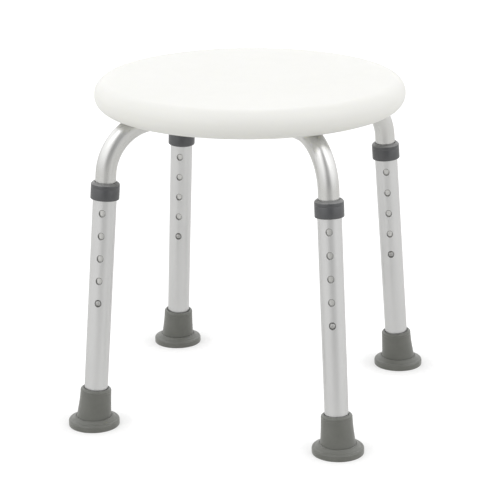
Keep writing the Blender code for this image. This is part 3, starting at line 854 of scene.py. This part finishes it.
def bolt(node, piece):
    """A domed bolt with a hexagon socket, its head below."""
    low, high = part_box(node)
    at, head = upright_at(node), (high.x - low.x) / 2
    bottom, top, head_top = low.z, high.z, low.z + BOLT_HEAD_HEIGHT
    profile = [(0.0, top), (BOLT_SHANK - BOLT_POINT, top), (BOLT_SHANK, top - BOLT_POINT)]
    profile += [(BOLT_SHANK, head_top), (head - BOLT_HEAD_EDGE, head_top)]
    side = (head - BOLT_HEAD_ROUND, bottom + BOLT_HEAD_ROUND_AT)
    profile += arc(side, BOLT_HEAD_ROUND, 60, -20, 6)
    profile += [(head - inward, bottom + up) for inward, up in BOLT_CROWN] + [(0.0, bottom)]
    obj = turned(piece, profile, FASTENER_STEEL, at, BOLT_STEPS)
    deep, below = bottom + BOLT_SOCKET_DEPTH, bottom - CUT_PAST / 2
    socket = [(0.0, deep), (BOLT_SOCKET, deep), (BOLT_SOCKET, below), (0.0, below)]
    cut(obj, [turned("cutter", socket, FASTENER_STEEL, at, 6)])
    show(obj, "stool", "fastener_steel", node)


def fine_washer(node, piece, turn=None):
    """A round washer; with a turn, its upper side is hollowed to the tube it bears on."""
    low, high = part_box(node)
    at, radius, edge = upright_at(node), (high.x - low.x) / 2, WASHER_EDGE
    profile = [(radius - edge, high.z), (radius, high.z - edge), (radius, low.z + edge)]
    profile += [(radius - edge, low.z), (WASHER_BORE, low.z), (WASHER_BORE, high.z)]
    obj = turned(piece, profile, FASTENER_STEEL, at, WASHER_STEPS, True)
    if turn is not None:
        lie = Matrix.Translation((0.0, 0.0, RUN_HEIGHT)) @ Matrix.Rotation(turn, 4, "Z")
        lie = at @ lie @ Matrix.Rotation(QUARTER_TURN, 4, "Y")
        saddle, end = TUBE_RADIUS + GAP, SADDLE_REACH
        profile = [(0.0, end), (saddle, end), (saddle, -end), (0.0, -end)]
        cut(obj, [turned("cutter", profile, FASTENER_STEEL, lie, SADDLE_STEPS)])
    show(obj, "stool", "fastener_steel", node)


def keep_node(node, material):
    """A CAD piece that is never seen: its shape stays, with a finished material."""
    obj = frame["nodes"][node]
    obj.data.materials.clear()
    obj.data.materials.append(material)


# ---- The stool -----------------------------------------------------------------------------


def stool():
    seat()
    for name in FRAME_TURNS:
        frame_tube(name)
    fine_washer("centre_washer", "washer_centre")
    bolt("centre_bolt", "bolt_centre")
    keep_node("centre_insert", INSERT_BRASS)
    for place in CORNERS:
        here, turn = leg_frame(place), FRAME_TURNS[TUBE_OF[place]]
        leg_extension(place, here)
        collar(place, here)
        foot_tip(place, here)
        snap_button(place)
        fine_washer("saddle_washer_" + place, "washer_" + place, turn)
        bolt("seat_bolt_" + place, "bolt_" + place)
        keep_node("seat_insert_" + place, INSERT_BRASS)
        keep_node("foot_washer_" + place, FASTENER_STEEL)
        button_spring(place)


# ---- Floor, light and camera ---------------------------------------------------------------

VIEW_AZIMUTH = math.radians(17.48)
VIEW_ELEVATION = math.radians(17.43)
VIEW_ROLL = math.radians(-0.42)
VIEW_DISTANCE = 2.1716
VIEW_HEIGHT = 0.1694
VIEW_SIDE = -0.0011
LENS_MM = 140.67
SENSOR_MM = 36.0

WHITE = (1.0, 1.0, 1.0, 1.0)
FLOOR_REACH = 12.0
FLOOR_OVERLAP = 0.010
FLOOR_STEP = 0.00002  # between one quarter of the floor and the next, where they overlap
FLOOR_SHOWN = (0.030, 0.072)  # from a foot's middle, where its patch of paper fades
FLOOR_TINT = (0.440, 0.438, 0.428)  # as the metal mirrors it
# painted shade: the darker tint of the floor out past the tent's opening, for the unlit studio that
# the metal mirrors there
FLOOR_DARK = (0.315, 0.314, 0.306)  # the same, beyond the tent's opening
FLOOR_FILL = 0.75  # light of its own for each of these tints
FLOOR_GLOW = 0.485  # light of its own where the camera sees it
FLOOR_GAP_START = (0.20, 1.00)  # how far in front the floor turns dark
GAP_AZIMUTH = VIEW_AZIMUTH + math.radians(6)
GAP_INNER, GAP_OUTER = math.radians(9), math.radians(40)  # half widths of the tent's opening
GAP_NEAR = 0.05  # in front of the middle, within which the opening gets no narrower
GAP_TOP = math.radians(78)
GAP_TOP_FADE = 0.12
GAP_LIGHT = 0.33  # of the tent's own, seen through the opening
HORIZON_LIGHT = 0.98
TENT_LIGHT = 1.38
ZENITH_LIGHT = 0.22
TENT_RISE, TENT_FALL = (0.0, 0.45), (0.6, 1.0)  # sines of elevation
PANEL_AZIMUTHS = (VIEW_AZIMUTH - math.radians(60), VIEW_AZIMUTH + math.radians(56))
PANEL_ELEVATION = math.radians(60)
PANEL_INNER, PANEL_OUTER = math.radians(10), math.radians(28)
PANEL_LIGHT = 1.25  # on top of the tent's own
BACKDROP_LIGHT = 1.2
LEAST_LEVEL = 0.001  # keeps a division defined straight up and straight down


def direction_to(azimuth, elevation):
    """Unit vector to a place seen from the stool: azimuth is from the front, to the right."""
    flat = math.cos(elevation)
    return Vector((math.sin(azimuth) * flat, -math.cos(azimuth) * flat, math.sin(elevation)))


def opening_in_front(surface):
    """1 on the floor in front of the stool, out past the tent's opening, and 0 elsewhere: there the
    floor takes painted shade, for the unlit studio.
    """
    turned_space = surface.node("ShaderNodeMapping", Rotation=(0.0, 0.0, -GAP_AZIMUTH))
    surface.link(surface.object_space(), turned_space.inputs["Vector"])
    x, y, _ = surface.axes(turned_space.outputs["Vector"])
    ahead = surface.math("MULTIPLY", y, -1.0)
    side = surface.math("ABSOLUTE", x)
    slope = surface.math("DIVIDE", side, surface.math("MAXIMUM", ahead, GAP_NEAR))
    across = surface.ramp(slope, math.tan(GAP_INNER), math.tan(GAP_OUTER), 1.0, 0.0)
    along = surface.ramp(ahead, *FLOOR_GAP_START, 0.0, 1.0)
    return surface.math("MULTIPLY", across, along)


def beside_a_foot(surface):
    """1 on the floor round each foot, and 0 where the paper is as white as the wall behind it."""
    low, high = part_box("foot_tip_back_right")
    middle = ((low.x + high.x) / 2, (low.y + high.y) / 2, 0.0)
    folded = surface.vector_math("ABSOLUTE", surface.object_space())
    from_foot = surface.vector_math("SUBTRACT", folded, middle)
    away = surface.vector_math("LENGTH", from_foot, output="Value")
    return surface.ramp(away, *FLOOR_SHOWN, 1.0, 0.0)


def floor_paper():
    """Matte paper: almost white to the camera beside the feet, and grey where metal mirrors it."""
    surface = Surface("floor_paper")
    grain = surface.noise(surface.coordinates(), 40.0)
    paper = surface.colours(grain, FLOOR_TINT, [c + 0.01 for c in FLOOR_TINT])
    # painted shade on the floor out in front, past the tent's opening
    tone = surface.mixed(paper, FLOOR_DARK, opening_in_front(surface))
    surface.set("Base Color", tone)
    surface.set("Emission Color", tone)
    surface.set("Emission Strength", FLOOR_FILL)
    surface.set("Roughness", 0.9)
    surface.set("Specular IOR Level", 0.0)
    white = surface.node("ShaderNodeBsdfDiffuse", Color=WHITE).outputs["BSDF"]
    lit = surface.node("ShaderNodeEmission", Strength=FLOOR_GLOW * 2).outputs["Emission"]
    clear = surface.node("ShaderNodeBsdfTransparent").outputs["BSDF"]
    patch = surface.mixed_shader(0.5, white, lit)
    shown = surface.mixed_shader(beside_a_foot(surface), clear, patch)
    seen = surface.mixed_shader(surface.camera_ray(), surface.shader.outputs["BSDF"], shown)
    surface.link(seen, surface.tree.nodes["Material Output"].inputs["Surface"])
    return surface.material


def floor():
    """Four quarters, one under each leg, that go down with the leg when it is drawn out."""
    paper = floor_paper()
    for index, (place, (side_x, side_y)) in enumerate(CORNERS.items()):
        name = "floor_" + place
        mesh = bpy.data.meshes.new(name)
        left, right = sorted((-FLOOR_OVERLAP * side_x, FLOOR_REACH * side_x))
        near, far = sorted((-FLOOR_OVERLAP * side_y, FLOOR_REACH * side_y))
        height = -FLOOR_STEP * (index + 1)
        corners = [(left, near), (right, near), (right, far), (left, far)]
        mesh.from_pydata([(x, y, height) for x, y in corners], [], [(0, 1, 2, 3)])
        mesh.materials.append(paper)
        obj = bpy.data.objects.new(name, mesh)
        bpy.context.scene.collection.objects.link(obj)
        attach(obj, "leg_" + place)


def tent_light(studio, direction):
    """Strength of the light from a direction: a pale tent, open in front, with two panels."""
    x, y, z = studio.axes(direction)
    level = studio.math("POWER", studio.math("SUBTRACT", 1.0, studio.math("MULTIPLY", z, z)), 0.5)
    along = studio.math("MULTIPLY", x, math.sin(GAP_AZIMUTH))
    along = studio.math("ADD", along, studio.math("MULTIPLY", y, -math.cos(GAP_AZIMUTH)))
    toward = studio.math("DIVIDE", along, studio.math("MAXIMUM", level, LEAST_LEVEL))
    aside = studio.math("ARCCOSINE", toward)
    opening = studio.ramp(aside, GAP_INNER, GAP_OUTER, GAP_LIGHT, 1.0)
    gap_top = math.sin(GAP_TOP)
    above = studio.ramp(z, gap_top - GAP_TOP_FADE, gap_top, 0.0, 1.0)
    opening = studio.math("MAXIMUM", opening, above)
    rising = studio.ramp(z, *TENT_RISE, HORIZON_LIGHT, TENT_LIGHT)
    falling = studio.ramp(z, *TENT_FALL, 0.0, TENT_LIGHT - ZENITH_LIGHT)
    light = studio.math("MULTIPLY", studio.math("SUBTRACT", rising, falling), opening)
    for azimuth in PANEL_AZIMUTHS:
        panel = direction_to(azimuth, PANEL_ELEVATION)
        facing = studio.vector_math("DOT_PRODUCT", direction, panel, "Value")
        near = studio.ramp(facing, math.cos(PANEL_OUTER), math.cos(PANEL_INNER), 0.0, 1.0)
        light = studio.math("ADD", light, studio.math("MULTIPLY", near, PANEL_LIGHT))
    return light


def world():
    """The tent lights the object, and the camera sees a plain white wall behind it."""
    made = bpy.data.worlds.new("studio")
    bpy.context.scene.world = made
    made.use_nodes = True
    studio = Nodes(made.node_tree)
    tent = studio.tree.nodes["Background"]
    tent.inputs["Color"].default_value = WHITE
    direction = studio.node("ShaderNodeTexCoord").outputs["Generated"]
    studio.link(tent_light(studio, direction), tent.inputs["Strength"])
    wall = studio.node("ShaderNodeBackground", Color=WHITE, Strength=BACKDROP_LIGHT)
    tent, wall = tent.outputs["Background"], wall.outputs["Background"]
    seen = studio.mixed_shader(studio.camera_ray(), tent, wall)
    studio.link(seen, studio.tree.nodes["World Output"].inputs["Surface"])


def camera():
    back = direction_to(VIEW_AZIMUTH, VIEW_ELEVATION)
    right = Vector((math.cos(VIEW_AZIMUTH), math.sin(VIEW_AZIMUTH), 0.0))
    up = back.cross(right)
    target = right * VIEW_SIDE + Vector((0.0, 0.0, VIEW_HEIGHT))
    level, rolled = math.cos(VIEW_ROLL), math.sin(VIEW_ROLL)
    data = bpy.data.cameras.new("camera")
    data.lens = LENS_MM
    data.sensor_width = SENSOR_MM
    obj = bpy.data.objects.new("camera", data)
    axes = Matrix((right * level + up * rolled, up * level - right * rolled, back))
    obj.matrix_world = axes.transposed().to_4x4()
    obj.location = target + back * VIEW_DISTANCE
    bpy.context.scene.collection.objects.link(obj)
    bpy.context.scene.camera = obj


stool()
floor()
world()
camera()
bpy.context.scene.view_settings.view_transform = "Standard"
